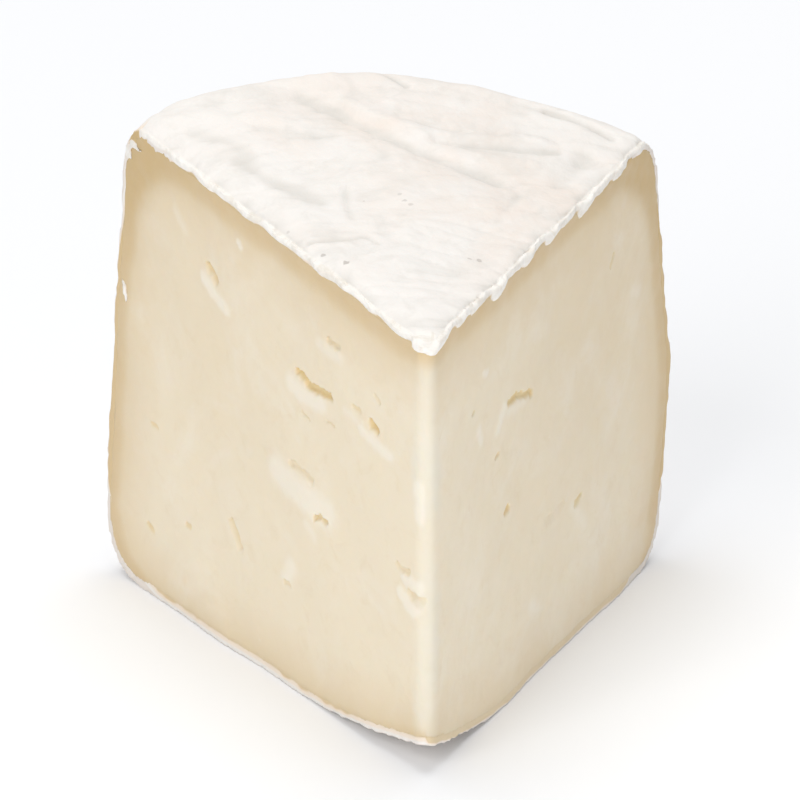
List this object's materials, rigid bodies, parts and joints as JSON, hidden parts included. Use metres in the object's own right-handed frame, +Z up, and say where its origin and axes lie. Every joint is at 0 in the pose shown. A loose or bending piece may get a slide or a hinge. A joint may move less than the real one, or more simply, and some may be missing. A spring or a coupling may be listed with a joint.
{
  "type": "soft sheep cheese wedge",
  "caption": "Wedge of soft sheep's milk cheese with a white bloomy rind, upright cut faces and a flat underside to rest on.",
  "frame": {"origin": "middle of the wedge's box, on the surface that its underside rests on", "axes": "+Z up, -Y towards the point of the wedge, +Y towards the rind side, +X towards the right cut as seen facing the point"},
  "size_m": [0.0734, 0.0747, 0.0684],
  "materials": {
    "cheese": "ivory soft cheese paste, satin and faintly moist, under a white velvety bloomy rind"
  },
  "bodies": {
    "root": {"cheese_wedge": "cheese"}
  },
  "joints": []
}
